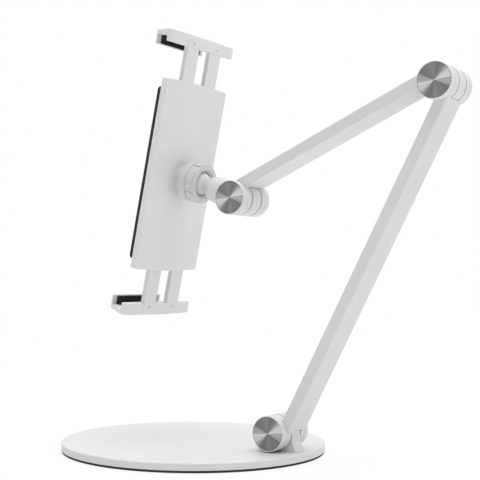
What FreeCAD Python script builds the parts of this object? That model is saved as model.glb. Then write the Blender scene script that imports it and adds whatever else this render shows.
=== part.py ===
"""Tablet holder: a weighted disc base, two folding arms, a ball joint and a sprung clamp.

Millimetres, +Z up. The origin is the centre of the base's underside. The arms fold in the
XZ plane, their hinge pins lie along Y, and the clamp's pad faces towards -X.
"""
import FreeCAD, Part
import math
import os

from FreeCAD import Vector

os.makedirs("parts", exist_ok=True)

# Base
base_radius = 86.0
base_thickness = 4.5
base_edge = 0.7
pad_thickness = 1.5
pad_inset = 0.3
foot_inset = 19.4               # hinge axis of the lower arm, in from the disc's rim
foot_height = 17.7              # the same axis above the table
lug_flare = 2.7                 # how much wider the lug is at the base than at its hinge
lug_flare_drop = 5.0            # the flare starts this far below the hinge axis
lug_screw_spacing = 15.0
lug_screw_radius = 1.6
lug_screw_head = 3.4
lug_screw_reach = 6.5
lug_screw_drive = 1.3           # radius of the socket in the screw's head
lug_screw_room = 0.3            # between a screw's shank and its hole in the disc
sink_room = 0.2                 # between a screw's head and its countersink

# Arms
lower_length = 234.1            # hinge to hinge
upper_length = 150.8
lower_angle = 62.6              # above +X, from the foot to the elbow
upper_angle = 204.25            # from the elbow to the head
bar_width = 22.0
bar_thickness = 7.2
bar_offset = 2.6                # the bar lies this far beside the line through its two hinges
bar_edge = 1.0
rim_break = 0.3                 # the small chamfer on every round end

# Hinges, all three alike
barrel_radius = 10.9
tongue_width = 10.0
washer_thickness = 1.0
washer_inset = 0.5              # how far a friction washer's rim stays inside the barrels
root_clearance = 0.35
foot_root_clearance = 0.8
pin_radius = 3.0
pin_clearance = 0.05
front_cover_length = 5.3
rear_cover_length = 4.8
cover_edge = 1.2
cap_radius = 10.25
cap_thickness = 0.9
cap_recess = 1.0
cap_clearance = 0.05
bolt_head_radius = 5.0
bolt_head_height = 2.5
bolt_socket = 4.0               # across flats
spring_washer_radius = 5.6
spring_washer_height = 1.0
nut_flats = 9.0
nut_height = 2.5
nut_cover_bore = 5.65
cover_floor = 0.9
cap_edge = 0.25
cap_dish = 0.15

# Head: yoke, ball and lock nut
stem_angle = 161.6              # above +X, from the head hinge to the ball
stem_length = 36.7
yoke_profile = [(0.0, 6.5), (11.0, 8.8), (19.3, 8.7), (25.2, 7.4), (28.0, 5.7), (30.1, 5.2)]
ball_radius = 8.0
stud_radius = 3.5
stud_length = 12.0
seat_clearance = 0.05
seat_thickness = 0.95
ring_from, ring_to = 78.0, 130.0      # seat ring, degrees round the ball from its opening
button_from = 166.0                   # seat button, likewise, up to the ball's back pole
socket_radius = 10.6
collar_radius = 9.6             # the socket's narrower foot on the back shell
collar_length = 5.6
nut_radius = 13.1
nut_floor_radius = 12.3         # between the ribs
nut_ribs = 6
nut_rib_angle = 26.0
nut_rib_first = 14.5            # the first rib's middle, above -Y
nut_length = 12.7
nut_front = 4.8                 # front face, ahead of the ball's centre
nut_band_length = 5.2           # the plain band at the nut's back
nut_ring_length = 0.7           # the plain ring at its front
nut_rib_gap_back = 0.9
nut_rib_gap_front = 0.4
nut_bore_clearance = 0.08
mouth_radius = 9.6
mouth_depth = 1.2
mouth_taper = 0.4
lip_radius = 8.2
lip_end = 0.9                   # the lip's back face, ahead of the ball's centre
nut_edge = 0.6
nut_mouth_edge = 0.25
socket_screw_spacing = 15.0
socket_screw_radius = 1.25
socket_screw_head = 2.3
thread_room = 0.02              # between a screw's or stem's thread and its hole
head_room = 0.2                 # between an inner screw's head or shank and its recess

# Clamp body
clamp_tilt = 11.4               # how far the clamp leans back from upright
plate_behind_ball = 14.0        # the back shell's outer face, behind the ball's centre
plate_above_ball = 1.0
shell_width = 67.0
shell_height = 124.4            # at its corners
shell_bow = 1.0                 # how much further its two ends reach at their middle
shell_depth = 4.4
shell_skin = 1.0
shell_wall = 2.0
shell_edge = 0.5
shell_corner = 1.2
cover_inset = 1.5
cover_slope = 3.0               # the cover's edges slope in by this much
front_thickness = 3.2
front_pad_thickness = 4.1
pad_margin = 0.8
pad_corner = 2.5
pad_edge = 0.8
corner_screw_inset = 7.4
corner_screw_radius = 1.1
corner_screw_head = 2.2
boss_radius = 2.6

# Rails, jaws and springs
rail_width = 12.5
rail_spacing = 24.8
rail_shift = 2.0                # the rails and jaws sit this far to +Y of the shell's middle
rail_thickness = 3.0
rail_clearance = 0.1
rail_inner_end = 22.5
rail_in_jaw = 4.5
grip_height = 89.4              # from the clamp's middle to each jaw's pad
jaw_half_width = 37.4
jaw_front_half_width = 24.0
jaw_bulge = 2.9
jaw_face = 0.6                  # jaw's outer face at its middle, behind the shell's face
jaw_depth = 24.1
jaw_block_depth = 5.9
jaw_block_height = 7.9
jaw_shelf = 3.1
jaw_corner = 2.0
jaw_top_edge = 0.9
lip_thickness = 2.6
lip_reach = 6.0
jaw_pad_thickness = 1.2
jaw_pad_margin = 2.5            # in from the front's ends
jaw_pad_stop = 0.5              # short of the lip's tip
rail_seat_room = 0.05           # round a rail's end in its jaw
jaw_screw_radius = 1.1
jaw_screw_head = 2.0
spring_radius = 1.5
spring_wire = 0.5
peg_radius = 1.2
peg_gap = 1.0                   # between a spring's peg and the boss beyond it
hook_gap = 0.2                  # between a spring's end and its peg or tab
tab_hold = 1.25                 # how far a rail's tab reaches past its spring's axis
tab_height = 4.5

# Sizes that follow from those above
base_top = pad_thickness + base_thickness
foot_x = base_radius - foot_inset
fork_half = bar_width / 2
tongue_half = tongue_width / 2
slot_half = tongue_half + washer_thickness
root_radius = barrel_radius + root_clearance
bore_radius = pin_radius + pin_clearance
washer_radius = barrel_radius - washer_inset
seat_inner = ball_radius + seat_clearance
seat_outer = seat_inner + seat_thickness
socket_bore = seat_outer + seat_clearance
plate_face = -plate_behind_ball
jaw_outer = plate_face - jaw_face
cavity_top = plate_face - shell_skin
shell_back = plate_face - shell_depth
front_back = shell_back - front_thickness
pad_face = front_back - front_pad_thickness
rail_face = cavity_top - rail_clearance
rail_back = rail_face - rail_thickness
shelf_inner = grip_height + jaw_pad_thickness
shelf_outer = shelf_inner + jaw_shelf
block_low = shelf_outer - jaw_block_height
jaw_front = jaw_outer - jaw_depth
jaw_inner = jaw_outer - jaw_block_depth
rails_half = (rail_spacing + rail_width) / 2
spring_room = shell_width / 2 - shell_wall - rail_shift - rails_half
spring_lane = rails_half + spring_room / 2
tab_reach = spring_room / 2 + tab_hold
spring_peg = shell_height / 2 - corner_screw_inset - boss_radius - peg_gap - peg_radius
nut_back = nut_front - nut_length

Y = Vector(0, 1, 0)
Z = Vector(0, 0, 1)
X = Vector(1, 0, 0)

foot = Vector(foot_x, 0, foot_height)
elbow = foot + Vector(math.cos(math.radians(lower_angle)), 0,
                      math.sin(math.radians(lower_angle))) * lower_length
head = elbow + Vector(math.cos(math.radians(upper_angle)), 0,
                      math.sin(math.radians(upper_angle))) * upper_length
ball = head + Vector(math.cos(math.radians(stem_angle)), 0,
                     math.sin(math.radians(stem_angle))) * stem_length


def save(name, shape):
    """Write one piece, or one group of like pieces, as parts/name.step."""
    shape.exportStep(f"parts/{name}.step")
    print(f"{name:28s} {shape.Volume:10.1f} mm3  solids {len(shape.Solids)}")


def placed(shape, at, angle):
    """Turn a shape about Y so that its own +X points at angle above +X, and move it to at."""
    moved = shape.copy()
    turn = FreeCAD.Placement(at, FreeCAD.Rotation(Y, -angle))
    moved.Placement = turn.multiply(shape.Placement)
    return moved


def in_clamp(shape):
    """Place a shape drawn with the ball's centre at the origin and +X along the socket."""
    return placed(shape, ball, -clamp_tilt)


def disc(radius, low, high):
    """A cylinder along Y between two distances."""
    return Part.makeCylinder(radius, high - low, Vector(0, low, 0), Y)


def tube(outer, inner, low, high):
    return disc(outer, low, high).cut(disc(inner, low - 1, high + 1))


def rod(radius, low, high, y=0.0, z=0.0):
    """A cylinder along X between two distances."""
    return Part.makeCylinder(radius, high - low, Vector(low, y, z), X)


def block(x, y, z):
    """A box between the given low and high values on each axis."""
    return Part.makeBox(x[1] - x[0], y[1] - y[0], z[1] - z[0], Vector(x[0], y[0], z[0]))


def hexagon(flats, low, high):
    """A hexagonal prism along Y."""
    reach = flats / math.sqrt(3)
    corners = [Vector(reach * math.cos(k * math.pi / 3), low, reach * math.sin(k * math.pi / 3))
               for k in range(7)]
    return Part.Face(Part.makePolygon(corners)).extrude(Vector(0, high - low, 0))


def turned(points, axis, sweep=360):
    """A solid of revolution about X or Y from (along, radius) points."""
    if axis == X:
        wire = Part.makePolygon([Vector(a, 0, r) for a, r in points + points[:1]])
    else:
        wire = Part.makePolygon([Vector(r, a, 0) for a, r in points + points[:1]])
    return Part.Face(wire).revolve(Vector(0, 0, 0), axis, sweep)


def edges_along(shape, direction, least):
    """The straight edges of a shape that run along a direction and are at least this long."""
    found = []
    for edge in shape.Edges:
        if edge.Length < least or not isinstance(edge.Curve, Part.Line):
            continue
        if abs(edge.Curve.Direction.dot(direction)) > 0.999:
            found.append(edge)
    return found


def base_disc():
    """The painted steel disc, with two countersunk holes for the lug's screws."""
    body = Part.makeCylinder(base_radius, base_thickness, Vector(0, 0, pad_thickness))
    rims = [e for e in body.Edges if isinstance(e.Curve, Part.Circle)]
    top_rim = [e for e in rims if e.BoundBox.ZMin > base_top - 0.01]
    body = body.makeFillet(base_edge, top_rim)
    for x in lug_screw_places():
        bore = lug_screw_radius + lug_screw_room
        hole = Part.makeCylinder(bore, base_thickness + 2, Vector(x, 0, 0))
        sink = Part.makeCone(lug_screw_head + sink_room, bore,
                             lug_screw_head - lug_screw_radius + sink_room,
                             Vector(x, 0, pad_thickness))
        body = body.cut(hole).cut(sink)
    return body


def base_pad():
    """The rubber sheet under the disc."""
    return Part.makeCylinder(base_radius - pad_inset, pad_thickness)


def lug_screw_places():
    return [foot_x - lug_screw_spacing / 2, foot_x + lug_screw_spacing / 2]


def base_lug():
    """The upright tongue on the disc that the lower arm's fork straddles."""
    drop = foot_height - base_top
    half = barrel_radius + lug_flare
    right = [(half, -drop), (barrel_radius, -lug_flare_drop), (barrel_radius, 0)]
    left = [(-x, z) for x, z in reversed(right)]
    outline = [Vector(x, -tongue_half, z) for x, z in right + left]
    foot_part = Part.Face(Part.makePolygon(outline + outline[:1]))
    body = foot_part.extrude(Vector(0, tongue_width, 0))
    body = body.fuse(disc(barrel_radius, -tongue_half, tongue_half)).removeSplitter()
    body = body.cut(disc(bore_radius, -fork_half, fork_half))
    body.translate(foot)
    for x in lug_screw_places():
        hole = Part.makeCylinder(lug_screw_radius, lug_screw_reach, Vector(x, 0, base_top))
        body = body.cut(hole)
    return body


def lug_screws():
    """Two countersunk screws, driven up through the disc into the lug."""
    screws = []
    sink = lug_screw_head - lug_screw_radius
    for x in lug_screw_places():
        cone = Part.makeCone(lug_screw_head, lug_screw_radius, sink, Vector(x, 0, pad_thickness))
        shank = Part.makeCylinder(lug_screw_radius, base_thickness + lug_screw_reach - 0.5,
                                  Vector(x, 0, pad_thickness))
        drive = Part.makeCylinder(lug_screw_drive, 1.2, Vector(x, 0, pad_thickness))
        screws.append(cone.fuse(shank).cut(drive))
    return Part.makeCompound(screws)


def hinge_disc():
    """The round end of an arm, with its outer rims broken by a small chamfer."""
    body = disc(barrel_radius, -fork_half, fork_half)
    rims = [e for e in body.Edges if isinstance(e.Curve, Part.Circle)]
    return body.makeChamfer(rim_break, rims)


def fork_slot(clearance):
    """The space that a fork leaves for the tongue between its ears."""
    return disc(barrel_radius + clearance, -slot_half, slot_half)


def tongue_shoulders():
    """The space that a tongue leaves for the two ears beside it."""
    near = disc(root_radius, -fork_half - 1, -tongue_half)
    far = disc(root_radius, tongue_half, fork_half + 1)
    return near.fuse(far)


def arm(length, start_cut, end_cut):
    """A flat bar beside the line of its hinges, drawn along +X with round ends."""
    bar = block((0, length), (-fork_half, fork_half), (-bar_offset - bar_thickness, -bar_offset))
    bar = bar.makeFillet(bar_edge, edges_along(bar, X, length / 2))
    end = hinge_disc()
    end.translate(Vector(length, 0, 0))
    body = bar.fuse([hinge_disc(), end])
    end_cut.translate(Vector(length, 0, 0))
    body = body.cut([start_cut, end_cut])
    for x in (0, length):
        pin = disc(bore_radius, -fork_half - 1, fork_half + 1)
        pin.translate(Vector(x, 0, 0))
        body = body.cut(pin)
    return body


def lower_arm():
    """Forked at both ends: round the base's lug, and round the upper arm's tongue."""
    shape = arm(lower_length, fork_slot(foot_root_clearance), fork_slot(root_clearance))
    return placed(shape, foot, lower_angle)


def upper_arm():
    """A tongue at the elbow and a fork at the head."""
    shape = arm(upper_length, tongue_shoulders(), fork_slot(root_clearance))
    return placed(shape, elbow, upper_angle)


def hinge_bolt():
    """A low-head bolt with a hexagon socket and a plain pin through both ears."""
    end = fork_half + spring_washer_height + nut_height
    body = disc(bolt_head_radius, -fork_half - bolt_head_height, -fork_half)
    body = body.fuse(disc(pin_radius, -fork_half - 0.1, end))
    return body.cut(hexagon(bolt_socket, -fork_half - bolt_head_height - 1, -fork_half - 1.0))


def hinge_nut():
    low = fork_half + spring_washer_height
    return hexagon(nut_flats, low, low + nut_height).cut(disc(bore_radius, low - 1, low + 9))


def hinge_spring_washers():
    """A pair of dished washers that keep the hinge tight, nested as one conical ring."""
    half = spring_washer_height / 2
    points = [(fork_half, spring_washer_radius), (fork_half + half, spring_washer_radius),
              (fork_half + spring_washer_height, bore_radius + 0.6),
              (fork_half + spring_washer_height, bore_radius), (fork_half + half, bore_radius)]
    return turned(points, Y)


def hinge_friction_washers():
    """Two thin discs between the tongue and the ears."""
    ring = tube(washer_radius, bore_radius, tongue_half + 0.05, slot_half)
    return Part.makeCompound([ring, ring.mirror(Vector(0, 0, 0), Y)])


def hinge_front_cover():
    """The painted cup over the bolt's head, with a recess for the metal cap."""
    face = -fork_half - front_cover_length
    floor = face + cap_recess
    bore = bolt_head_radius + thread_room
    points = [(-fork_half, bore), (-fork_half, barrel_radius - rim_break),
              (-fork_half - rim_break, barrel_radius), (face + rim_break, barrel_radius),
              (face, barrel_radius - rim_break), (face, cap_radius + cap_clearance),
              (floor, cap_radius + cap_clearance), (floor, 0), (floor + cover_floor, 0),
              (floor + cover_floor, bore)]
    return turned(points, Y)


def hinge_cap():
    """The turned metal disc in the front cover, very slightly dished."""
    floor = -fork_half - front_cover_length + cap_recess
    face = floor - cap_thickness
    points = [(floor, 0), (floor, cap_radius), (face + cap_edge, cap_radius),
              (face, cap_radius - cap_edge), (face + cap_dish, 0)]
    return turned(points, Y)


def hinge_rear_cover():
    """The painted cup over the nut, with a rounded outer edge."""
    face = fork_half + rear_cover_length
    body = disc(barrel_radius, fork_half, face)
    rims = [e for e in body.Edges if isinstance(e.Curve, Part.Circle)]
    body = body.makeFillet(cover_edge, [e for e in rims if e.BoundBox.YMin > face - 0.01])
    inner_rim = [e for e in body.Edges if isinstance(e.Curve, Part.Circle)
                 and e.BoundBox.YMax < fork_half + 0.01]
    body = body.makeChamfer(rim_break, inner_rim)
    return body.cut(disc(nut_cover_bore, fork_half - 1, face - cover_floor))


def yoke():
    """A tongue in the upper arm's fork that narrows in a smooth curve to the ball's stud."""
    points = [Vector(along, 0, radius) for along, radius in yoke_profile]
    root, tip = points[0], points[-1]
    outline = Part.BSplineCurve()
    outline.interpolate(points)
    sides = [Part.makeLine(Vector(root.x, 0, 0), root), outline.toShape(),
             Part.makeLine(tip, Vector(tip.x, 0, 0)),
             Part.makeLine(Vector(tip.x, 0, 0), Vector(root.x, 0, 0))]
    neck = Part.Face(Part.Wire(sides)).revolve(Vector(0, 0, 0), X, 360)
    body = neck.fuse(disc(barrel_radius, -tongue_half, tongue_half))
    body = body.cut(tongue_shoulders())
    body = body.cut(disc(bore_radius, -fork_half, fork_half))
    seat = Part.makeSphere(ball_radius + 0.1, Vector(stem_length, 0, 0))
    body = body.cut(seat)
    hole = rod(stud_radius, stem_length - ball_radius - stud_length - 0.5, stem_length)
    return placed(body.cut(hole), head, stem_angle)


def ball_stud():
    """The steel ball with its threaded stem, screwed into the yoke."""
    body = Part.makeSphere(ball_radius, Vector(stem_length, 0, 0))
    stem = rod(stud_radius - thread_room, stem_length - ball_radius - stud_length, stem_length)
    return placed(body.fuse(stem), head, stem_angle)


def seat_band(start, end):
    """A band of a spherical shell round the ball, between two angles from the opening."""
    span = math.radians(end - start)
    first = math.radians(start)
    last = math.radians(end)
    mid = first + span / 2

    def at(radius, angle):
        return Vector(radius * math.cos(angle), 0, radius * math.sin(angle))

    inner = Part.Arc(at(seat_inner, first), at(seat_inner, mid), at(seat_inner, last)).toShape()
    outer = Part.Arc(at(seat_outer, last), at(seat_outer, mid), at(seat_outer, first)).toShape()
    sides = [Part.makeLine(at(seat_inner, last), at(seat_outer, last)),
             Part.makeLine(at(seat_outer, first), at(seat_inner, first))]
    wire = Part.Wire([inner, sides[0], outer, sides[1]])
    return in_clamp(Part.Face(wire).revolve(Vector(0, 0, 0), X, 360))


def ball_socket():
    """The cup screwed to the back shell, open towards the arm and threaded outside."""
    body = rod(collar_radius, plate_face, plate_face + collar_length)
    body = body.fuse(rod(socket_radius, plate_face + collar_length, 0.6))
    body = body.cut(Part.makeSphere(socket_bore))
    for z in (-socket_screw_spacing / 2, socket_screw_spacing / 2):
        body = body.cut(rod(socket_screw_radius, plate_face - 1, plate_face + 5.5, 0, z))
    return in_clamp(body)


def lock_nut():
    """The ribbed ring that squeezes the ball in its socket, open at its mouth."""
    bore = socket_radius + nut_bore_clearance
    band_end = nut_back + nut_band_length
    ring_start = nut_front - nut_ring_length
    lip = nut_front - mouth_depth
    profile = [(nut_back, bore), (nut_back, nut_radius - nut_edge),
               (nut_back + nut_edge, nut_radius),
               (band_end, nut_radius), (band_end, nut_floor_radius),
               (ring_start, nut_floor_radius), (ring_start, nut_radius),
               (nut_front - nut_mouth_edge, nut_radius),
               (nut_front, nut_radius - nut_mouth_edge), (nut_front, mouth_radius),
               (lip, mouth_radius - mouth_taper), (lip - nut_edge, lip_radius),
               (lip_end, lip_radius), (lip_end, bore)]
    body = turned(profile, X).cut(Part.makeSphere(socket_bore))
    low = band_end + nut_rib_gap_back
    high = ring_start - nut_rib_gap_front
    rib = turned([(low, nut_floor_radius - 0.5), (low, nut_radius), (high, nut_radius),
                  (high, nut_floor_radius - 0.5)], X, nut_rib_angle)
    ribs = []
    for k in range(nut_ribs):
        one = rib.copy()
        turn = 90 - nut_rib_first - nut_rib_angle / 2 + k * 360 / nut_ribs
        one.rotate(Vector(0, 0, 0), X, turn)
        ribs.append(one)
    return in_clamp(body.fuse(ribs))


def socket_screw_places():
    return [-socket_screw_spacing / 2, socket_screw_spacing / 2]


def rib_half():
    """Half the width of the shell's central rib, which both rails slide along."""
    return rail_spacing / 2 - rail_width / 2 - rail_clearance * 2


def rail_middles():
    return [rail_shift - rail_spacing / 2, rail_shift + rail_spacing / 2]


def corner_places():
    half_width = shell_width / 2 - corner_screw_inset
    half_height = shell_height / 2 - corner_screw_inset
    return [(y, z) for y in (-half_width, half_width) for z in (-half_height, half_height)]


def raised(shape):
    """Move a clamp piece drawn about the shell's middle up to its place by the ball."""
    moved = shape.copy()
    moved.translate(Vector(0, 0, plate_above_ball))
    return in_clamp(moved)


def shell_outline(inset, at):
    """The shell's outline, drawn in by an inset: straight sides and slightly bowed ends."""
    wide = shell_width / 2 - inset
    high = shell_height / 2 - inset
    corners = [Vector(at, wide, high), Vector(at, -wide, high),
               Vector(at, -wide, -high), Vector(at, wide, -high)]
    top = Part.Arc(corners[0], Vector(at, 0, high + shell_bow), corners[1]).toShape()
    low = Part.Arc(corners[2], Vector(at, 0, -high - shell_bow), corners[3]).toShape()
    return Part.Wire([top, Part.makeLine(corners[1], corners[2]), low,
                      Part.makeLine(corners[3], corners[0])])


def shell_slab(inset, low, high, corner):
    """A slab with the shell's outline between two depths, its corners rounded."""
    body = Part.Face(shell_outline(inset, low)).extrude(Vector(high - low, 0, 0))
    return body.makeFillet(corner, edges_along(body, X, 1))


def back_shell():
    """The white shell behind the device: a shallow tray, open at each end for the rails."""
    half_height = shell_height / 2
    outer = shell_slab(0, shell_back, plate_face, shell_corner)
    face_edges = [e for e in outer.Edges if e.BoundBox.XMin > plate_face - 0.01]
    outer = outer.makeFillet(shell_edge, face_edges)
    inner = Part.Face(shell_outline(shell_wall, shell_back - 1))
    body = outer.cut(inner.extrude(Vector(cavity_top - shell_back + 1, 0, 0)))
    rib = block((shell_back, cavity_top),
                (rail_shift - rib_half(), rail_shift + rib_half()),
                (shell_wall - half_height, half_height - shell_wall))
    body = body.fuse(rib)
    for y, z in corner_places():
        body = body.fuse(rod(boss_radius, shell_back, cavity_top, y, z))
        body = body.cut(rod(corner_screw_radius, shell_back - 1, cavity_top - 0.4, y, z))
    for y, z in ((rail_shift - spring_lane, -spring_peg), (rail_shift + spring_lane, spring_peg)):
        body = body.fuse(rod(peg_radius, shell_back, cavity_top, y, z))
    slot_half_width = rail_width / 2 + rail_clearance
    for y in rail_middles():
        body = body.cut(block((shell_back - 1, cavity_top),
                              (y - slot_half_width, y + slot_half_width),
                              (-half_height - 5, half_height + 5)))
    for z in socket_screw_places():
        z = z - plate_above_ball
        shank = rod(socket_screw_radius + head_room, shell_back - 1, plate_face + 1, 0, z)
        recess = rod(socket_screw_head + head_room, shell_back - 1, shell_back + 1.8, 0, z)
        body = body.cut(shank).cut(recess)
    return raised(body)


def socket_screws():
    """Two screws from inside the shell, through its rib, into the socket."""
    screws = []
    for z in socket_screw_places():
        z = z - plate_above_ball
        screw = rod(socket_screw_head, shell_back + 0.2, shell_back + 1.8, 0, z)
        screw = screw.fuse(rod(socket_screw_radius - thread_room, shell_back + 1,
                               plate_face + 5, 0, z))
        screws.append(screw.cut(rod(0.8, shell_back, shell_back + 1, 0, z)))
    return raised(Part.makeCompound(screws))


def front_plate():
    """The cover with sloping edges that closes the shell and keeps the rails in."""
    body = Part.makeLoft([shell_outline(cover_inset, shell_back),
                          shell_outline(cover_inset + cover_slope, front_back)], True, True)
    for y, z in corner_places():
        shank = rod(corner_screw_radius + head_room, front_back - 1, shell_back + 1, y, z)
        recess = rod(corner_screw_head + head_room, front_back - 1, front_back + 1.4, y, z)
        body = body.cut(shank).cut(recess)
    return raised(body)


def plate_screws():
    """Four screws that hold the front plate to the shell's bosses."""
    screws = []
    for y, z in corner_places():
        screw = rod(corner_screw_head, front_back + 0.1, front_back + 1.4, y, z)
        screw = screw.fuse(rod(corner_screw_radius - thread_room, front_back + 1,
                               cavity_top - 0.6, y, z))
        screws.append(screw.cut(rod(0.7, front_back, front_back + 0.9, y, z)))
    return raised(Part.makeCompound(screws))


def front_pad():
    """The soft pad that the device's back lies on."""
    inset = cover_inset + cover_slope + pad_margin
    body = shell_slab(inset, pad_face, front_back, pad_corner)
    rims = [e for e in body.Edges if e.BoundBox.XMax < pad_face + 0.01]
    return raised(body.makeFillet(pad_edge, rims))


def rails():
    """The upper jaw's two flat rails; one has a tab inside the shell for its spring."""
    strips = []
    for y in rail_middles():
        strips.append(block((rail_back, rail_face), (y - rail_width / 2, y + rail_width / 2),
                            (rail_inner_end, block_low + rail_in_jaw)))
    edge = rail_middles()[0] - rail_width / 2
    tab = block((rail_back, rail_face), (edge - tab_reach, edge + 1),
                (rail_inner_end, rail_inner_end + tab_height))
    strips[0] = strips[0].fuse(tab).removeSplitter()
    return strips


def jaw_plan():
    """The jaw's outline from above: a bowed outer face and a narrower front."""
    end = jaw_outer - jaw_bulge
    corners = [Vector(end, jaw_half_width, 0), Vector(jaw_front, jaw_front_half_width, 0),
               Vector(jaw_front, -jaw_front_half_width, 0), Vector(end, -jaw_half_width, 0)]
    bow = Part.Arc(corners[3], Vector(jaw_outer, 0, 0), corners[0]).toShape()
    return Part.Face(Part.Wire([bow, Part.makePolygon(corners)]))


def jaw():
    """The upper jaw: a block on the rails, a shelf over the device and a lip before it."""
    height = shelf_outer - block_low + lip_reach
    whole = jaw_plan().extrude(Vector(0, 0, height))
    whole.translate(Vector(0, rail_shift, shelf_outer - height))
    whole = whole.makeFillet(jaw_corner, edges_along(whole, Z, height / 2))
    wide = jaw_half_width + 5
    gap = block((jaw_front + lip_thickness, jaw_inner), (-wide, wide), (0, shelf_inner))
    below = block((jaw_inner - 1, plate_face + 9), (-wide, wide), (0, block_low))
    below_lip = block((jaw_front - 5, jaw_front + lip_thickness + 1), (-wide, wide),
                      (0, shelf_inner - lip_reach))
    body = whole.cut([gap, below, below_lip])
    top = [e for e in body.Edges if e.BoundBox.ZMin > shelf_outer - 0.01]
    body = body.makeFillet(jaw_top_edge, top)
    for y in rail_middles():
        half = rail_width / 2 + rail_seat_room
        body = body.cut(block((rail_back - rail_seat_room, rail_face + rail_seat_room),
                              (y - half, y + half),
                              (block_low - 1, block_low + rail_in_jaw + rail_seat_room)))
        body = body.cut(rod(jaw_screw_radius, jaw_inner - 1, rail_face + 0.2, y, screw_z()))
        body = body.cut(rod(jaw_screw_head + 0.1, jaw_inner - 1, jaw_inner + 0.9, y, screw_z()))
    return body


def screw_z():
    """Height of the jaw's screws, half way up the rails' sockets."""
    return block_low + rail_in_jaw / 2


def jaw_screws():
    screws = []
    for y in rail_middles():
        screw = rod(jaw_screw_head, jaw_inner + 0.05, jaw_inner + 0.9, y, screw_z())
        screws.append(screw.fuse(rod(jaw_screw_radius - thread_room, jaw_inner + 0.5,
                                     rail_face + 0.1, y, screw_z())))
    return screws


def jaw_pad():
    """The rubber lining of the jaw's channel, under the shelf and inside the lip."""
    front = jaw_front + lip_thickness
    half = jaw_front_half_width - jaw_pad_margin
    across = (rail_shift - half, rail_shift + half)
    under = block((front, jaw_inner), across, (grip_height, shelf_inner))
    upright = block((front, front + jaw_pad_thickness), across,
                    (shelf_inner - lip_reach + jaw_pad_stop, shelf_inner))
    return under.fuse(upright).removeSplitter()


def spring():
    """The upper jaw's tension spring, close wound, drawn as its outer tube."""
    axis = (cavity_top + shell_back) / 2
    low = -spring_peg + peg_radius + hook_gap
    high = rail_inner_end - hook_gap
    length = high - low
    lane = rail_shift - spring_lane
    body = Part.makeCylinder(spring_radius, length, Vector(axis, lane, low), Z)
    core = Part.makeCylinder(spring_radius - spring_wire, length + 2,
                             Vector(axis, lane, low - 1), Z)
    return body.cut(core)


def drilled_rails():
    """The rails with the holes that the jaw's screws go through."""
    made = []
    for strip, y in zip(rails(), rail_middles()):
        made.append(strip.cut(rod(jaw_screw_radius + 0.1, rail_back - 1, rail_face + 1,
                                  y, screw_z())))
    return made


def turned_over(shape):
    """The lower jaw's pieces are the upper ones turned half round, but for the rails' shift."""
    return shape.mirror(Vector(0, 0, 0), Z)


def lower_rails():
    """The lower jaw's rails, with the spring's tab on the other side."""
    strips = [turned_over(strip) for strip in drilled_rails()]
    middle = Vector(0, rail_shift, 0)
    return [strip.mirror(middle, Y) for strip in strips]


save("base_disc", base_disc())
save("base_pad", base_pad())
save("base_lug", base_lug())
save("base_lug_screws", lug_screws())
save("lower_arm", lower_arm())
save("upper_arm", upper_arm())

hinge_pieces = {
    "bolt": hinge_bolt(),
    "nut": hinge_nut(),
    "spring_washers": hinge_spring_washers(),
    "friction_washers": hinge_friction_washers(),
    "front_cover": hinge_front_cover(),
    "cap": hinge_cap(),
    "rear_cover": hinge_rear_cover(),
}
for place, at, angle in (("base", foot, lower_angle), ("elbow", elbow, lower_angle),
                         ("head", head, upper_angle)):
    for kind, shape in hinge_pieces.items():
        save(f"{place}_hinge_{kind}", placed(shape, at, angle))

save("head_yoke", yoke())
save("ball_stud", ball_stud())
save("ball_seat_ring", seat_band(ring_from, ring_to))
save("ball_seat_button", seat_band(button_from, 180))
save("ball_socket", ball_socket())
save("lock_nut", lock_nut())

save("clamp_back_shell", back_shell())
save("clamp_socket_screws", socket_screws())
save("clamp_front_plate", front_plate())
save("clamp_plate_screws", plate_screws())
save("clamp_front_pad", front_pad())

save("upper_jaw", raised(jaw()))
save("upper_jaw_pad", raised(jaw_pad()))
save("upper_jaw_rails", raised(Part.makeCompound(drilled_rails())))
save("upper_jaw_screws", raised(Part.makeCompound(jaw_screws())))
save("upper_jaw_spring", raised(spring()))

save("lower_jaw", raised(turned_over(jaw())))
save("lower_jaw_pad", raised(turned_over(jaw_pad())))
save("lower_jaw_rails", raised(Part.makeCompound(lower_rails())))
save("lower_jaw_screws", raised(turned_over(Part.makeCompound(jaw_screws()))))
lower_spring = turned_over(spring()).mirror(Vector(0, rail_shift, 0), Y)
save("lower_jaw_spring", raised(lower_spring))
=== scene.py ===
"""Looks of the tablet holder: every piece in the order it is put together, from the base up.

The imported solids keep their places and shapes, and each gets its finish here. The rubber pads
and the jaws' springs are plain in the solids, so they are made anew with their ribs and coils.
"""
import math

import bmesh
import bpy
from mathutils import Matrix, Vector


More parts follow.
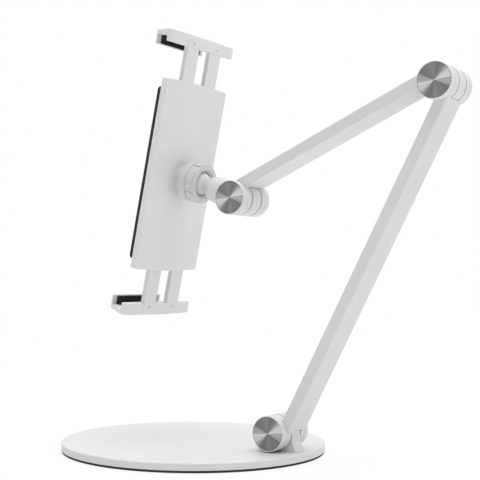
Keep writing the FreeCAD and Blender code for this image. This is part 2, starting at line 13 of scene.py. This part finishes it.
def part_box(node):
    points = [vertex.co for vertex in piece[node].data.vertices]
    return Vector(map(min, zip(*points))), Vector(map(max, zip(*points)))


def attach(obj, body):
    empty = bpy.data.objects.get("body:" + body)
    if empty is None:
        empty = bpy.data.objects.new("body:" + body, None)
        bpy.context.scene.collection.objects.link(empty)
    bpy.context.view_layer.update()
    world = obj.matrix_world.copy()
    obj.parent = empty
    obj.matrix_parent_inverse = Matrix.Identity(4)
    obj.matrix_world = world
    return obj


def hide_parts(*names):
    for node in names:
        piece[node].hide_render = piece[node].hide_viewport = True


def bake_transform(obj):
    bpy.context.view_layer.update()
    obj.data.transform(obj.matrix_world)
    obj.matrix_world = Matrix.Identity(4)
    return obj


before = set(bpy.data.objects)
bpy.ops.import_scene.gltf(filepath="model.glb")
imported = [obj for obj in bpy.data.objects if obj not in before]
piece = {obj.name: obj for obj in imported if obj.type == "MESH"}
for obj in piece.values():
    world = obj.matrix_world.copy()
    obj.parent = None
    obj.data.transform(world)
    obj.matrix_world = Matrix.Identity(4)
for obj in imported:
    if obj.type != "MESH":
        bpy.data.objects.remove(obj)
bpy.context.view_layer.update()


# The base: a steel disc with a rounded rim, powder coated white. Its lug is milled steel in
# the same coat, held from below by countersunk zinc-plated screws.
def add(tree, kind, inputs, **properties):
    """A new node whose inputs are set to values or joined to other nodes' outputs."""
    node = tree.nodes.new(kind)
    for name, value in properties.items():
        setattr(node, name, value)
    for name, value in inputs.items():
        if isinstance(value, bpy.types.NodeSocket):
            tree.links.new(value, node.inputs[name])
        elif isinstance(value, list):
            for output in value:
                tree.links.new(output, node.inputs[name])
        else:
            node.inputs[name].default_value = value
    return node


def compute(tree, operation, first, second=0.0):
    """One sum on two numbers or outputs."""
    sum_node = add(tree, "ShaderNodeMath", {0: first, 1: second}, operation=operation)
    return sum_node.outputs["Value"]


def grey(tone):
    """A colour without a tint."""
    return (tone, tone, tone)


def start_finish(name, roughness, metallic=0.0):
    """A new finish, with the numbers that are the same all over set on its own sockets."""
    finish = bpy.data.materials.new(name)
    finish.use_nodes = True
    shader = finish.node_tree.nodes["Principled BSDF"]
    shader.inputs["Roughness"].default_value = roughness
    shader.inputs["Metallic"].default_value = metallic
    return finish, finish.node_tree, shader


def feed(tree, shader, outputs):
    """Join outputs to the shader's inputs of these names."""
    for name, output in outputs.items():
        tree.links.new(output, shader.inputs[name])


def object_place(tree):
    """Where a point is on the piece, in metres."""
    return add(tree, "ShaderNodeTexCoord", {}).outputs["Object"]


def speckle(tree, size, octaves=2.0):
    """Fine noise whose grains are about this many metres across."""
    noise = add(tree, "ShaderNodeTexNoise",
                {"Vector": object_place(tree), "Scale": 1.0 / size, "Detail": octaves})
    return noise.outputs["Fac"]


def between(tree, amount, low, high):
    """Wander between two greys or colours."""
    ramp = add(tree, "ShaderNodeValToRGB", {"Fac": amount})
    first, last = ramp.color_ramp.elements
    first.position, last.position = 0.3, 0.7
    first.color, last.color = (*low, 1.0), (*high, 1.0)
    return ramp.outputs["Color"]


def roughen(tree, amount, low, high):
    """Let the roughness wander between two values."""
    spread = add(tree, "ShaderNodeMapRange", {"Value": amount, "To Min": low, "To Max": high})
    return spread.outputs["Result"]


def relief(tree, height, depth):
    """Bumps of this depth in metres."""
    bump = add(tree, "ShaderNodeBump", {"Height": height, "Distance": depth})
    return bump.outputs["Normal"]


def powder_coat(name, low, high, cloud=0.02, patch=0.004, peel=0.0011, depth=0.000008):
    """White powder coat: an orange-peel skin with faint cloudiness in its colour and gloss."""
    finish, tree, shader = start_finish(name, 0.42)
    feed(tree, shader, {"Base Color": between(tree, speckle(tree, cloud), low, high),
                        "Roughness": roughen(tree, speckle(tree, patch), 0.4, 0.46),
                        "Normal": relief(tree, speckle(tree, peel), depth)})
    return finish


def zinc_plate(name, blotch=0.0015, mark=0.0003, depth=0.00001):
    """Zinc-plated steel: pale grey, slightly blotched, with fine tumbling marks."""
    finish, tree, shader = start_finish(name, 0.35, metallic=1.0)
    blotches = speckle(tree, blotch, 3.0)
    bluish, yellowish = (0.42, 0.43, 0.44), (0.6, 0.6, 0.58)
    feed(tree, shader, {"Base Color": between(tree, blotches, bluish, yellowish),
                        "Roughness": roughen(tree, blotches, 0.25, 0.45),
                        "Normal": relief(tree, speckle(tree, mark), depth)})
    return finish


def wear(finish, *names):
    """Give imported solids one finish."""
    for name in names:
        slots = piece[name].data.materials
        slots.clear()
        slots.append(finish)


white_coat = powder_coat("white_powder_coat", grey(0.715), grey(0.735))
zinc = zinc_plate("zinc_plated_steel")
wear(white_coat, "base_disc", "base_lug")
wear(zinc, "base_lug_screws")


# The base's pad: a black rubber sheet glued under the disc, a hair smaller than it, with raised
# rings moulded on its underside. Geometry Nodes lay the rings out from the middle to the rim.
def black_rubber(name, grain=0.0009, dust=0.012, depth=0.00012):
    """Moulded rubber: nearly black, matt, with a fine leathery grain and a dusting of grey."""
    finish, tree, shader = start_finish(name, 0.8)
    cells = add(tree, "ShaderNodeTexVoronoi",
                {"Vector": object_place(tree), "Scale": 1.0 / grain})
    clean, dusty = grey(0.012), (0.026, 0.026, 0.027)
    feed(tree, shader, {"Base Color": between(tree, speckle(tree, dust, 4.0), clean, dusty),
                        "Normal": relief(tree, cells.outputs["Distance"], depth)})
    return finish


def slab(outline, low, high, edge, along):
    """A flat moulding: an outline across one axis, carried along it, with its rims rounded."""
    place = {"X": lambda a, b, depth: (depth, a, b),
             "Y": lambda a, b, depth: (a, depth, b),
             "Z": lambda a, b, depth: (a, b, depth)}[along]
    work = bmesh.new()
    rims = [[work.verts.new(place(a, b, depth)) for a, b in outline] for depth in (low, high)]
    caps = [work.faces.new(rim) for rim in rims]
    for k in range(len(outline)):
        work.faces.new((rims[0][k - 1], rims[0][k], rims[1][k], rims[1][k - 1]))
    bmesh.ops.recalc_face_normals(work, faces=work.faces)
    rim_edges = [side for cap in caps for side in cap.edges]
    bmesh.ops.bevel(work, geom=rim_edges, offset=edge, segments=3, profile=0.5, affect="EDGES")
    mesh = bpy.data.meshes.new("slab")
    work.to_mesh(mesh)
    work.free()
    return mesh


def start_growth(name, inputs):
    """An empty geometry tree that takes a mesh, a finish, and these further named inputs."""
    tree = bpy.data.node_groups.new(name, "GeometryNodeTree")
    face = tree.interface
    face.new_socket("Geometry", in_out="OUTPUT", socket_type="NodeSocketGeometry")
    face.new_socket("Geometry", in_out="INPUT", socket_type="NodeSocketGeometry")
    face.new_socket("Finish", in_out="INPUT", socket_type="NodeSocketMaterial")
    for label, kind in inputs.items():
        face.new_socket(label, in_out="INPUT", socket_type=f"NodeSocket{kind}")
    return tree, tree.nodes.new("NodeGroupInput").outputs


def end_growth(tree, given, shape):
    """Close a tree as the export needs: every copy made real, and the finish set on it all."""
    real = add(tree, "GeometryNodeRealizeInstances", {"Geometry": shape})
    dressed = add(tree, "GeometryNodeSetMaterial",
                  {"Geometry": real.outputs["Geometry"], "Material": given["Finish"]})
    add(tree, "NodeGroupOutput", {"Geometry": dressed.outputs["Geometry"]})
    return tree


def ring_rows():
    """A tree that adds thin rings round the Z axis, evenly spaced, half sunk in the mesh."""
    tree, given = start_growth("ring_rows", {
        "Rings": "Int", "First Radius": "Float", "Radius Step": "Float", "Height": "Float",
        "Thickness": "Float"})
    number = add(tree, "GeometryNodeInputIndex", {}).outputs["Index"]
    further = compute(tree, "MULTIPLY", number, given["Radius Step"])
    radius = compute(tree, "ADD", further, given["First Radius"])
    middles = add(tree, "GeometryNodePoints", {"Count": given["Rings"]})
    circle = add(tree, "GeometryNodeCurvePrimitiveCircle",
                 {"Resolution": ring_steps, "Radius": 1.0})
    circles = add(tree, "GeometryNodeInstanceOnPoints",
                  {"Points": middles.outputs["Points"], "Instance": circle.outputs["Curve"],
                   "Scale": radius})
    lines = add(tree, "GeometryNodeRealizeInstances",
                {"Geometry": circles.outputs["Instances"]})
    section = add(tree, "GeometryNodeCurvePrimitiveCircle",
                  {"Resolution": rib_sides, "Radius": given["Thickness"]})
    rings = add(tree, "GeometryNodeCurveToMesh",
                {"Curve": lines.outputs["Geometry"], "Profile Curve": section.outputs["Curve"]})
    lift = add(tree, "ShaderNodeCombineXYZ", {"Z": given["Height"]})
    raised = add(tree, "GeometryNodeTransform",
                 {"Geometry": rings.outputs["Mesh"], "Translation": lift.outputs["Vector"]})
    both = add(tree, "GeometryNodeJoinGeometry",
               {"Geometry": [given["Geometry"], raised.outputs["Geometry"]]})
    return end_growth(tree, given, both.outputs["Geometry"])


def grow(name, mesh, tree, settings):
    """Run a tree on a mesh and keep what it makes as a plain piece."""
    made = bpy.data.objects.new(name, mesh)
    bpy.context.collection.objects.link(made)
    modifier = made.modifiers.new(tree.name, "NODES")
    modifier.node_group = tree
    for socket in tree.interface.items_tree:
        if socket.name in settings:
            modifier[socket.identifier] = settings[socket.name]
    grown = made.evaluated_get(bpy.context.evaluated_depsgraph_get())
    plain = bpy.data.meshes.new_from_object(grown)
    made.modifiers.remove(modifier)
    made.data = plain
    plain.shade_smooth()
    plain.set_sharp_from_angle(angle=smooth_under)
    return made


def stand_for(made, node, body):
    """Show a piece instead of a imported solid, on that solid's body."""
    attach(made, body)
    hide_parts(node)


smooth_under = math.radians(40)
rings_under_base = 14
first_ring = 0.020
ring_thickness = 0.0004
ring_steps = 144
rib_sides = 12
thin_edge = 0.0002
round_steps = 160
low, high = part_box("base_pad")
pad_radius = high.x
pad_rim = [(pad_radius * math.cos(2 * math.pi * k / round_steps),
            pad_radius * math.sin(2 * math.pi * k / round_steps)) for k in range(round_steps)]
ring_step = (pad_radius - ring_thickness - first_ring) / (rings_under_base - 1)
hard_rubber = black_rubber("base_rubber")
pad_sheet = slab(pad_rim, low.z + ring_thickness, high.z, thin_edge, "Z")
base_pad = grow("base_rubber_pad", pad_sheet, ring_rows(),
                {"Finish": hard_rubber, "Rings": rings_under_base,
                 "First Radius": first_ring, "Radius Step": ring_step,
                 "Height": low.z + ring_thickness, "Thickness": ring_thickness})
stand_for(base_pad, "base_pad", "base")


# The arms: two aluminium bars in the same powder coat as the base. The lower one is forked at
# both ends, and the upper one has a tongue at the elbow and a fork at the head.
wear(white_coat, "lower_arm", "upper_arm")


# The three hinges: a bolt through both ears, spring washers and a nut behind, a painted cup
# over each end, and in the front cup a turned metal disc. Black washers line the tongue.
def turned_metal(name, centre):
    """A disc faced on a lathe: fine rings round its centre, and across them painted fans of light
    and dark, each like the one opposite, with radial streaking: painted highlights and shade for
    the reflections that such rings show."""
    finish, tree, shader = start_finish(name, 0.32, metallic=1.0)
    centred = add(tree, "ShaderNodeMapping",
                  {"Vector": object_place(tree), "Location": -centre})
    flat = add(tree, "ShaderNodeVectorMath", {0: centred.outputs["Vector"], 1: (1, 0, 1)},
               operation="MULTIPLY").outputs["Vector"]
    across = add(tree, "ShaderNodeSeparateXYZ", {"Vector": flat}).outputs
    angle = compute(tree, "ARCTAN2", across["Z"], across["X"])
    half_turn = compute(tree, "FRACT", compute(tree, "DIVIDE", angle, math.pi))
    # The fans are painted highlights and shade: light and dark wedges by angle in the base colour.
    fans = add(tree, "ShaderNodeValToRGB", {"Fac": half_turn})
    stops = fans.color_ramp.elements
    for degrees, tone in painted_fan_tones[1:-1]:
        stops.new(degrees / 180).color = (*grey(tone), 1.0)
    for end in (0, -1):
        stops[end].color = (*grey(painted_fan_tones[end][1]), 1.0)

    # Radial streaks in the base colour: a painted sheen of the lathe-faced metal.
    spoke = add(tree, "ShaderNodeVectorMath", {0: flat}, operation="NORMALIZE")
    streaks = add(tree, "ShaderNodeTexNoise",
                  {"Vector": spoke.outputs["Vector"], "Scale": painted_streaks_across, "Detail": 4.0})
    radius = add(tree, "ShaderNodeVectorMath", {0: flat}, operation="LENGTH")
    rings = add(tree, "ShaderNodeTexNoise",
                {"W": radius.outputs["Value"], "Scale": rings_per_metre, "Detail": 2.0},
                noise_dimensions="1D")
    grain = compute(tree, "ADD", compute(tree, "MULTIPLY", streaks.outputs["Fac"], painted_streak_share),
                    compute(tree, "MULTIPLY", rings.outputs["Fac"], ring_share))
    strength = compute(tree, "ADD", grain, even_share)
    shade = compute(tree, "MULTIPLY", fans.outputs["Color"], strength)
    feed(tree, shader, {"Base Color": shade,
                        "Normal": relief(tree, rings.outputs["Fac"], tool_mark_depth)})
    return finish


def black_nylon(name, cloud=0.003, grain=0.0004, depth=0.00003):
    """Turned nylon: black, satin, with a faint machined grain."""
    finish, tree, shader = start_finish(name, 0.5)
    darkest, palest = (0.015, 0.015, 0.016), grey(0.03)
    feed(tree, shader, {"Base Color": between(tree, speckle(tree, cloud), darkest, palest),
                        "Normal": relief(tree, speckle(tree, grain), depth)})
    return finish


# Painted highlights and shade: the tone of the fans at each angle, in degrees.
painted_fan_tones = ((0, 0.36), (2, 0.33), (8, 0.64), (31, 0.58), (52, 0.24), (74, 0.18), (95, 0.24),
             (150, 0.18), (162, 0.38), (180, 0.40))
painted_streaks_across, rings_per_metre = 5.0, 2600.0
even_share, painted_streak_share, ring_share = 0.6, 0.6, 0.2
tool_mark_depth = 0.00004
nylon = black_nylon("black_nylon")
for place in ("base", "elbow", "head"):
    low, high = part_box(f"{place}_hinge_cap")
    wear(turned_metal(f"{place}_turned_metal", (low + high) / 2), f"{place}_hinge_cap")
    wear(white_coat, f"{place}_hinge_front_cover", f"{place}_hinge_rear_cover")
    wear(zinc, f"{place}_hinge_bolt", f"{place}_hinge_nut", f"{place}_hinge_spring_washers")
    wear(nylon, f"{place}_hinge_friction_washers")


# The head: a tapered yoke with a ball on its end, coated together, held in a seat of natural
# white nylon by a socket and a ribbed lock nut, in a white plastic painted greyer as shade.
def white_plastic(name, low, high, cloud=0.03, patch=0.0008, grain=0.00035, depth=0.000006):
    """Moulded plastic: white, with the soft fine texture of a spark-eroded mould."""
    finish, tree, shader = start_finish(name, 0.5)
    feed(tree, shader, {"Base Color": between(tree, speckle(tree, cloud), low, high),
                        "Roughness": roughen(tree, speckle(tree, patch), 0.44, 0.58),
                        "Normal": relief(tree, speckle(tree, grain, 3.0), depth)})
    return finish


# The nut and socket are painted greyer than the clamp's plastic: painted shade over them.
shaded_nut_plastic = white_plastic("painted_shade_white_plastic", grey(0.65), grey(0.68))
natural_nylon = white_plastic("natural_nylon", (0.60, 0.60, 0.57), (0.65, 0.65, 0.62))
wear(white_coat, "head_yoke", "ball_stud")
wear(natural_nylon, "ball_seat_ring", "ball_seat_button")
wear(shaded_nut_plastic, "ball_socket", "lock_nut")


# The clamp's body: a shallow white plastic shell and its front plate, screwed together, and on
# the plate a soft rubber pad. Geometry Nodes set the pad's low ribs across it, in rows.
def leaned(tree, shape, tilt):
    """A shape leant back about the Y axis, as the clamp leans."""
    turn = add(tree, "ShaderNodeCombineXYZ", {"Y": tilt})
    leaning = add(tree, "GeometryNodeTransform",
                  {"Geometry": shape, "Rotation": turn.outputs["Vector"]})
    return leaning.outputs["Geometry"]


def straight_ribs():
    """A tree that adds rows of round ribs along Y, half sunk in an upright mesh, and then leans
    the whole back with the clamp."""
    tree, given = start_growth("straight_ribs", {
        "Ribs": "Int", "First Rib": "Vector", "Rib Step": "Vector", "Length": "Float",
        "Thickness": "Float", "Tilt": "Float"})
    row = add(tree, "GeometryNodeMeshLine",
              {"Count": given["Ribs"], "Start Location": given["First Rib"],
               "Offset": given["Rib Step"]})
    rib = add(tree, "GeometryNodeMeshCylinder",
              {"Vertices": rib_sides, "Radius": given["Thickness"], "Depth": given["Length"]})
    ribs = add(tree, "GeometryNodeInstanceOnPoints",
               {"Points": row.outputs["Mesh"], "Instance": rib.outputs["Mesh"],
                "Rotation": (math.pi / 2, 0, 0)})
    both = add(tree, "GeometryNodeJoinGeometry",
               {"Geometry": [given["Geometry"], ribs.outputs["Instances"]]})
    return end_growth(tree, given, leaned(tree, both.outputs["Geometry"], given["Tilt"]))


def upright_box(node):
    """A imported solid's lowest and highest corners along the clamp's own axes."""
    points = [lean_back.inverted() @ vertex.co for vertex in piece[node].data.vertices]
    return (Vector([min(point[axis] for point in points) for axis in range(3)]),
            Vector([max(point[axis] for point in points) for axis in range(3)]))


def pad_outline(low, high, corner, bow):
    """Points round a pad, seen along X: straight sides, round corners, slightly bowed ends."""
    middle = (low + high) / 2
    wide = (high.y - low.y) / 2 - corner
    tall = (high.z - low.z) / 2 - corner - bow
    points = []
    for quarter, (y_side, z_side) in enumerate(((1, 1), (-1, 1), (-1, -1), (1, -1))):
        for k in range(corner_steps + 1):
            turn = (quarter + k / corner_steps) * math.pi / 2
            points.append((middle.y + y_side * wide + corner * math.cos(turn),
                           middle.z + z_side * tall + corner * math.sin(turn)))
        if y_side == z_side:
            for k in range(1, bow_steps):
                along = 1 - 2 * k / bow_steps
                points.append((middle.y + y_side * wide * along, middle.z + z_side
                               * (tall + corner + bow * (1 - along * along))))
    return points


clamp_tilt = math.radians(11.4)
lean_back = Matrix.Rotation(clamp_tilt, 4, "Y")
corner_steps = 6
bow_steps = 12
pad_corner = 0.0025
pad_bow = 0.001
pad_edge = 0.0006
rib_thickness = 0.0004
pad_rib_spacing = 0.004
rib_margin = 0.003

plastic = white_plastic("white_plastic", grey(0.76), grey(0.79))
wear(plastic, "clamp_back_shell", "clamp_front_plate")
wear(zinc, "clamp_socket_screws", "clamp_plate_screws")
soft_rubber = black_rubber("clamp_rubber", grain=0.0007)
ribbed = straight_ribs()
low, high = upright_box("clamp_front_pad")
pad_ribs = int((high.z - low.z - 2 * rib_margin) / pad_rib_spacing)
lowest_rib = (low.z + high.z) / 2 - pad_rib_spacing * (pad_ribs - 1) / 2
pad_block = slab(pad_outline(low, high, pad_corner, pad_bow), low.x + rib_thickness, high.x,
                 pad_edge, "X")
front_pad = grow("front_rubber_pad", pad_block, ribbed,
                 {"Finish": soft_rubber, "Ribs": pad_ribs, "Tilt": clamp_tilt,
                  "First Rib": (low.x + rib_thickness, (low.y + high.y) / 2, lowest_rib),
                  "Rib Step": (0.0, 0.0, pad_rib_spacing),
                  "Length": high.y - low.y - 2 * rib_margin, "Thickness": rib_thickness})
stand_for(front_pad, "clamp_front_pad", "clamp")


# The jaws: each is one plastic moulding, screwed to two steel rails, which are coated to match
# it. An angle of rubber with small ribs lines it, under the shelf and inside the lip.
def lining_outline(low, high, side):
    """The lining's section, seen along Y: an angle, open inwards; side is 1 for the upper jaw."""
    outer = high.z if side > 0 else low.z
    tip = low.z if side > 0 else high.z
    inner = outer - side * (lining_thickness - rib_thickness)
    upright = low.x + lining_thickness
    return [(low.x, outer), (high.x, outer), (high.x, inner), (upright, inner), (upright, tip),
            (low.x, tip)], inner


lining_thickness = 0.0012
lining_rib_spacing = 0.002
rail_coat = powder_coat("rail_powder_coat", grey(0.75), grey(0.77))
for end, side in (("upper", 1), ("lower", -1)):
    wear(plastic, f"{end}_jaw")
    wear(rail_coat, f"{end}_jaw_rails")
    wear(zinc, f"{end}_jaw_screws")
    low, high = upright_box(f"{end}_jaw_pad")
    section, inner = lining_outline(low, high, side)
    first_rib = low.x + lining_thickness + lining_rib_spacing
    lining = grow(f"{end}_jaw_lining", slab(section, low.y, high.y, thin_edge, "Y"), ribbed,
                  {"Finish": soft_rubber, "Tilt": clamp_tilt,
                   "Ribs": int((high.x - first_rib) / lining_rib_spacing),
                   "First Rib": (first_rib, (low.y + high.y) / 2, inner),
                   "Rib Step": (lining_rib_spacing, 0.0, 0.0),
                   "Length": high.y - low.y - rib_thickness, "Thickness": rib_thickness})
    stand_for(lining, f"{end}_jaw_pad", f"{end}_jaw")


# The springs: inside the shell, one wire coil pulls each jaw inwards, from a peg in the shell to
# a tab on the jaw's rail, and stretches as the jaw slides out. Geometry Nodes wind it at one
# length.
def coil_tree():
    """A tree that winds wire round an upright line and then leans it back with the clamp."""
    tree, given = start_growth("coil", {
        "Turns": "Float", "Radius": "Float", "Wire Radius": "Float", "Length": "Float",
        "Start": "Vector", "Tilt": "Float"})
    path = add(tree, "GeometryNodeCurveSpiral",
               {"Resolution": steps_per_turn, "Rotations": given["Turns"],
                "Start Radius": given["Radius"], "End Radius": given["Radius"],
                "Height": given["Length"]})
    section = add(tree, "GeometryNodeCurvePrimitiveCircle",
                  {"Resolution": wire_sides, "Radius": given["Wire Radius"]})
    wire = add(tree, "GeometryNodeCurveToMesh",
               {"Curve": path.outputs["Curve"], "Profile Curve": section.outputs["Curve"],
                "Fill Caps": True})
    placed = add(tree, "GeometryNodeTransform",
                 {"Geometry": wire.outputs["Mesh"], "Translation": given["Start"]})
    return end_growth(tree, given, leaned(tree, placed.outputs["Geometry"], given["Tilt"]))


wire_radius = 0.00025
coil_pitch = 0.00095
steps_per_turn, wire_sides = 16, 6
coil = coil_tree()
for end, side in (("upper", 1), ("lower", -1)):
    low, high = upright_box(f"{end}_jaw_spring")
    middle = (low + high) / 2
    half_length = (high.z - low.z) / 2
    foot = Vector((middle.x, middle.y, low.z + wire_radius))
    length = 2 * (half_length - wire_radius)
    spring = grow(f"{end}_jaw_coil", bpy.data.meshes.new("coil"), coil,
                  {"Finish": zinc, "Turns": length / coil_pitch,
                   "Radius": (high.y - low.y) / 2 - wire_radius, "Wire Radius": wire_radius,
                   "Length": length, "Start": foot, "Tilt": clamp_tilt})
    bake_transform(spring)
    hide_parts(f"{end}_jaw_spring")


# The table: a plain white floor, a hair below the base. It glows, so that it fades into the
# white background, but less so near the holder, whose soft shadow still shows on it.
def seen_directly(tree):
    """1 for rays from the camera or by way of a shiny or clear surface, and 0 for the rest."""
    ray = add(tree, "ShaderNodeLightPath", {}).outputs
    mirrored = compute(tree, "MAXIMUM", ray["Is Glossy Ray"], ray["Is Transmission Ray"])
    return compute(tree, "MAXIMUM", ray["Is Camera Ray"], mirrored)


floor_reach = 6.0
floor_drop = 0.0002
floor_white = 0.9
glow_near, glow_far = 0.8, 1.0
fade_from, fade_to = 0.15, 0.7
bpy.ops.mesh.primitive_plane_add(size=2 * floor_reach, location=(0, 0, -floor_drop))
floor = bpy.context.object
floor.name = "floor"
floor_finish, floor_tree, floor_shader = start_finish("white_floor", 0.9)
floor_shader.inputs["Base Color"].default_value = (*grey(floor_white), 1.0)
distance = add(floor_tree, "ShaderNodeVectorMath", {0: object_place(floor_tree)},
               operation="LENGTH")
fade = add(floor_tree, "ShaderNodeMapRange",
           {"Value": distance.outputs["Value"], "From Min": fade_from, "From Max": fade_to,
            "To Min": glow_near, "To Max": glow_far}, interpolation_type="SMOOTHSTEP")
glow = add(floor_tree, "ShaderNodeEmission", {"Color": (1, 1, 1, 1), "Strength": 1.0})
share = compute(floor_tree, "MULTIPLY", fade.outputs["Result"], seen_directly(floor_tree))
blend = add(floor_tree, "ShaderNodeMixShader",
            {"Fac": share, 1: floor_shader.outputs["BSDF"], 2: glow.outputs["Emission"]})
feed(floor_tree, floor_tree.nodes["Material Output"], {"Surface": blend.outputs["Shader"]})
floor.data.materials.append(floor_finish)


# The light: a surround that is brighter overhead, a broad soft lamp above, and a weak one behind
# and to the right, which lights the clamp's back and the right sides of the arms.
def soft_lamp(name, place, target, size, power):
    """A round soft lamp that faces a point."""
    data = bpy.data.lights.new(name, "AREA")
    data.shape = "DISK"
    data.size = size
    data.energy = power
    lamp = bpy.data.objects.new(name, data)
    lamp.location = place
    lamp.rotation_euler = (Vector(target) - lamp.location).to_track_quat("-Z", "Y").to_euler()
    bpy.context.collection.objects.link(lamp)


horizon_light, overhead_light = 0.1, 1.15
world = bpy.data.worlds.new("studio")
world.use_nodes = True
sky = world.node_tree
direction = add(sky, "ShaderNodeTexCoord", {}).outputs["Generated"]
height = add(sky, "ShaderNodeSeparateXYZ", {"Vector": direction}).outputs["Z"]
ambient = add(sky, "ShaderNodeMapRange",
              {"Value": height, "To Min": horizon_light, "To Max": overhead_light})
strength = add(sky, "ShaderNodeMapRange",
               {"Value": seen_directly(sky), "To Min": ambient.outputs["Result"], "To Max": 1.0})
sky.nodes["Background"].inputs["Color"].default_value = (1, 1, 1, 1)
feed(sky, sky.nodes["Background"], {"Strength": strength.outputs["Result"]})
bpy.context.scene.world = world
soft_lamp("top_lamp", place=(0.4, 0.05, 2.1), target=(0.05, 0, 0), size=2.2, power=22.5)
soft_lamp("side_lamp", place=(1.0, 0.9, 0.5), target=(0, 0, 0.15), size=0.8, power=1.3)


# The camera: at the photograph's place, in front of the holder and to its right, low over the
# table. It has a long lens and looks very slightly up.
camera_place = Vector((0.40674, -0.57356, 0.11557))
camera_yaw = math.radians(32.96)
camera_pitch = math.radians(1.81)
camera_roll = math.radians(0.52)
camera_data = bpy.data.cameras.new("camera")
camera_data.sensor_width = 36.0
camera_data.lens = 79.65
camera_data.clip_start = 0.05
camera_data.clip_end = 50.0
camera = bpy.data.objects.new("camera", camera_data)
turn = Matrix.Rotation(camera_yaw, 4, "Z") @ Matrix.Rotation(math.pi / 2 + camera_pitch, 4, "X")
camera.matrix_world = Matrix.Translation(camera_place) @ turn @ Matrix.Rotation(camera_roll, 4, "Z")
bpy.context.collection.objects.link(camera)
bpy.context.scene.camera = camera
bpy.context.scene.view_settings.view_transform = "Standard"
